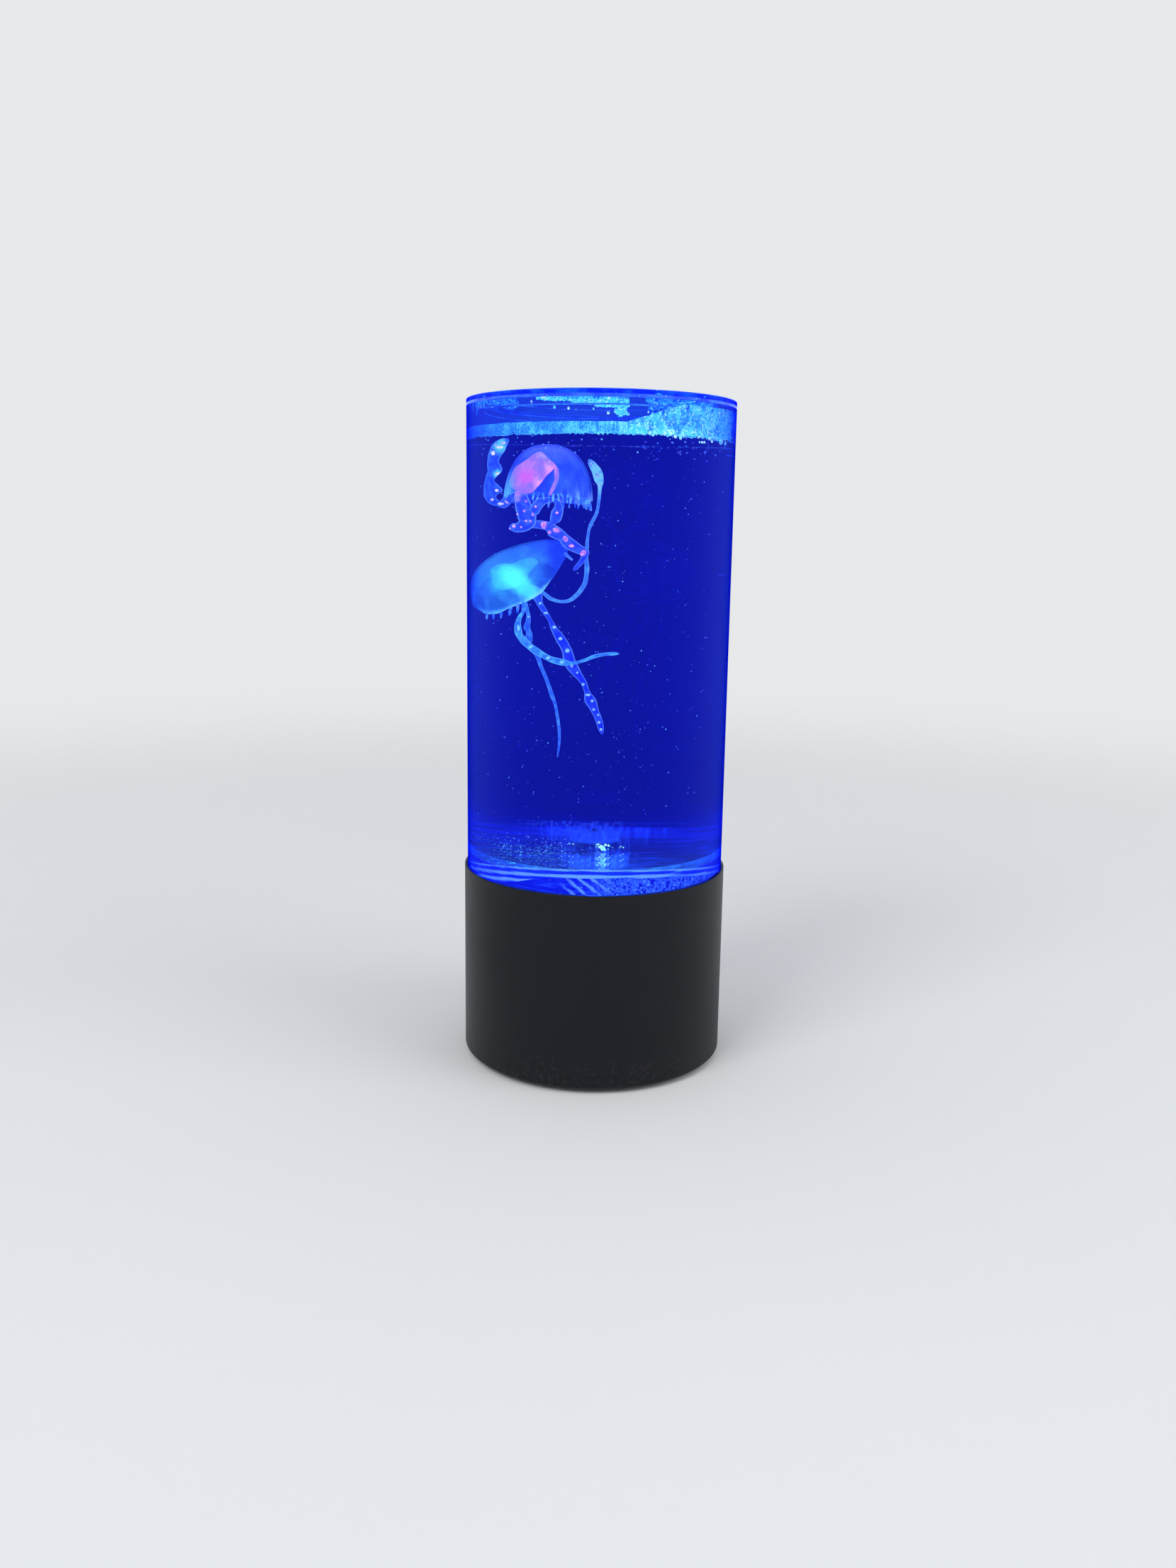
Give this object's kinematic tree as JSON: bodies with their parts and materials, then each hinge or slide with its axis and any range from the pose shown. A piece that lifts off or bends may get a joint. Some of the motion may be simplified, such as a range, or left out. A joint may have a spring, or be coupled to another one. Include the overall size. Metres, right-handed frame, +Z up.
{
  "type": "jellyfish lamp",
  "caption": "Clear cylindrical water tank lamp on a plain black base, with soft jellyfish that drift over lights and an impeller.",
  "frame": {"origin": "on the surface the lamp stands on, under the middle of its base", "axes": "+Z up along the tank's axis; the front faces -Y and the buttons and power inlet face +Y"},
  "size_m": [0.1124, 0.1124, 0.2765],
  "materials": {
    "black_plastic": "satin moulded black",
    "grey_plastic": "satin moulded dark grey",
    "black_rubber": "matte black",
    "clear_acrylic": "polished clear",
    "clear_glue": "clear with trapped bubbles",
    "steel": "plain zinc plated",
    "magnet_metal": "nickel plated",
    "board_green": "solder mask",
    "board_white": "white solder mask or white moulding",
    "diode_lens": "lit blue lens",
    "foam": "wet bubbles",
    "lead_red": "wire insulation",
    "pink_bell": "translucent silicone, lit blue",
    "pink_core": "fluorescent pink silicone",
    "cyan_bell": "translucent silicone, lit blue",
    "cyan_core": "fluorescent cyan silicone"
  },
  "bodies": {
    "base": {"base_housing": "black_plastic", "base_bottom_cover": "black_plastic", "rubber_foot_1": "black_rubber", "rubber_foot_2": "black_rubber", "rubber_foot_3": "black_rubber", "rubber_foot_4": "black_rubber", "cover_screw_1": "steel", "cover_screw_2": "steel", "cover_screw_3": "steel", "cover_screw_4": "steel", "control_board": "board_green", "power_switch": "grey_plastic", "light_switch": "grey_plastic", "power_inlet": "grey_plastic", "motor_plate": "steel", "motor_plate_screw_1": "steel", "motor_plate_screw_2": "steel", "motor_can": "steel", "light_board": "board_white", "light_diode_1": "diode_lens", "light_diode_2": "diode_lens", "light_diode_3": "diode_lens", "light_diode_4": "diode_lens", "light_diode_5": "diode_lens", "light_diode_6": "diode_lens", "motor_lead": "lead_red", "light_lead": "lead_red", "tank_seal": "black_rubber", "tank_tube": "clear_acrylic", "tank_floor": "clear_acrylic", "floor_glue_ring": "clear_glue", "impeller_pin": "steel", "impeller_cover": "clear_acrylic"},
    "motor_rotor": {"motor_shaft": "steel", "magnet_holder": "grey_plastic", "drive_magnet_1": "magnet_metal", "drive_magnet_2": "magnet_metal"},
    "impeller_rotor": {"impeller": "board_white", "impeller_magnet": "magnet_metal"},
    "power_button": {"power_button": "grey_plastic"},
    "light_button": {"light_button": "grey_plastic"},
    "lid": {"tank_lid": "clear_acrylic"},
    "water_surface": {"foam_ring": "foam"},
    "pink_jellyfish": {"pink_bell": "pink_bell", "pink_core": "pink_core", "pink_curled_arm": "pink_bell"},
    "pink_arms": {"pink_short_arm": "pink_bell", "pink_loop_arm": "pink_bell", "pink_long_arm": "pink_bell"},
    "cyan_jellyfish": {"cyan_bell": "cyan_bell", "cyan_core": "cyan_core", "cyan_rising_tentacle": "cyan_bell"},
    "cyan_arms": {"cyan_broad_arm": "cyan_bell", "cyan_thin_arm": "cyan_bell", "cyan_sweeping_arm": "cyan_bell"}
  },
  "joints": [
    {"name": "motor_spin", "type": "hinge", "parent": "base", "child": "motor_rotor", "pos_m": [0, 0, 0.0835], "axis": [0, 0, 1], "continuous": true},
    {"name": "impeller_spin", "type": "hinge", "parent": "base", "child": "impeller_rotor", "pos_m": [0, 0, 0.0935], "axis": [0, 0, 1], "continuous": true},
    {"name": "power_button_press", "type": "slide", "parent": "base", "child": "power_button", "axis": [0.342, -0.9397, 0], "range_m": [0, 0.0012], "stiffness_N_per_m": 500},
    {"name": "light_button_press", "type": "slide", "parent": "base", "child": "light_button", "axis": [-0.342, -0.9397, 0], "range_m": [0, 0.0012], "stiffness_N_per_m": 500},
    {"name": "lid_lift", "type": "slide", "parent": "base", "child": "lid", "axis": [0, 0, 1], "range_m": [0, 0.06]},
    {"name": "water_swirl", "type": "hinge", "parent": "base", "child": "water_surface", "pos_m": [0, 0, 0.2605], "axis": [0, 0, 1], "continuous": true},
    {"name": "pink_drift", "type": "slide", "parent": "water_surface", "child": "pink_jellyfish", "axis": [0, 0, 1], "range_m": [-0.028, 0]},
    {"name": "pink_arms_sway", "type": "hinge", "parent": "pink_jellyfish", "child": "pink_arms", "pos_m": [-0.01775, -0.01582, 0.23947], "axis": [0, 0.9962, -0.0872], "range_deg": [-8, 8], "stiffness_Nm_per_rad": 0.02},
    {"name": "cyan_drift", "type": "slide", "parent": "water_surface", "child": "cyan_jellyfish", "axis": [0, 0, 1], "range_m": [-0.028, 0]},
    {"name": "cyan_arms_sway", "type": "hinge", "parent": "cyan_jellyfish", "child": "cyan_arms", "pos_m": [-0.02542, -0.00035, 0.20489], "axis": [0, 0.9272, 0.3746], "range_deg": [-8, 8], "stiffness_Nm_per_rad": 0.02}
  ],
  "couplings": [
    {"joint": "impeller_spin", "follows": "motor_spin", "ratio": 1},
    {"joint": "pink_drift", "follows": "cyan_drift", "ratio": 1}
  ]
}
